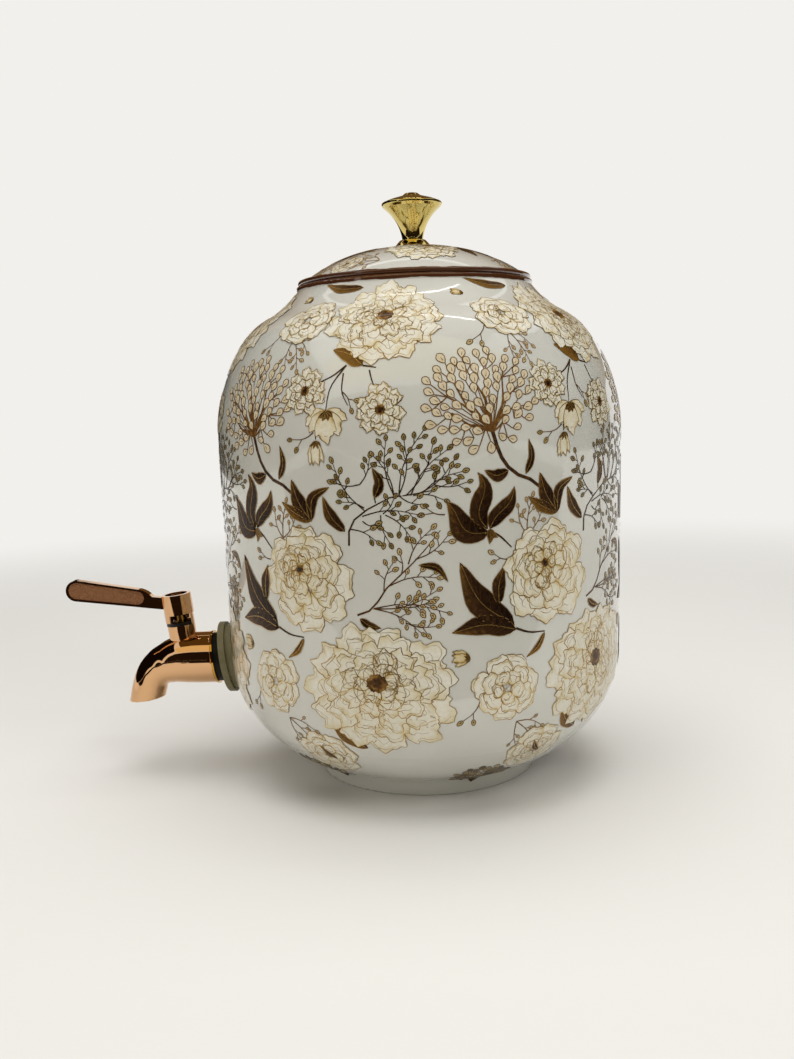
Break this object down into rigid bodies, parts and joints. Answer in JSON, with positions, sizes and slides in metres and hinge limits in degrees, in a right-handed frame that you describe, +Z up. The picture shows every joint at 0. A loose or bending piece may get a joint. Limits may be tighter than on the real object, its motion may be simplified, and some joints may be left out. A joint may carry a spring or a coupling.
{
  "type": "clay water pot with tap",
  "caption": "Round-shouldered glazed clay water pot with a domed lift-off lid, a flared knob and a lever-operated ball tap low on its side.",
  "frame": {"origin": "on the pot's axis, in the plane of its foot ring", "axes": "+Z up along the pot's axis, -Y the way the tap points"},
  "size_m": [0.2, 0.2843, 0.2865],
  "materials": {
    "glazed_ceramic": "gloss",
    "polished_brass": "polished",
    "brass": "satin",
    "rose_gold_plate": "polished",
    "gold_plate": "polished",
    "steel": "satin",
    "steel_ball": "polished",
    "grey_silicone": "matte",
    "black_rubber": "matte",
    "black_plastic": "satin",
    "seat_plastic": "satin"
  },
  "bodies": {
    "pot": {"pot_body": "glazed_ceramic", "tap_body": "rose_gold_plate", "tap_tail": "gold_plate", "flange_ring": "black_rubber", "outer_seal": "grey_silicone", "inner_seal": "grey_silicone", "inner_washer": "steel", "lock_nut": "steel", "ball_seat_rear": "seat_plastic", "ball_seat_front": "seat_plastic", "gland_nut": "brass", "stop_washer": "black_plastic"},
    "lid": {"lid": "glazed_ceramic", "knob_collar": "polished_brass", "lid_knob": "polished_brass", "knob_screw": "steel", "knob_washer": "steel", "knob_seal": "black_rubber"},
    "lever": {"lever_handle": "rose_gold_plate", "valve_stem": "brass", "handle_screw": "steel", "valve_ball": "steel_ball", "stem_o_rings": "black_rubber"}
  },
  "joints": [
    {"name": "lid_lift", "type": "slide", "parent": "pot", "child": "lid", "axis": [0, 0, 1], "range_m": [0, 0.12]},
    {"name": "lever_turn", "type": "hinge", "parent": "pot", "child": "lever", "pos_m": [0, -0.124, 0.0568], "axis": [0, -0.1132, 0.9936], "range_deg": [0, 90]}
  ]
}
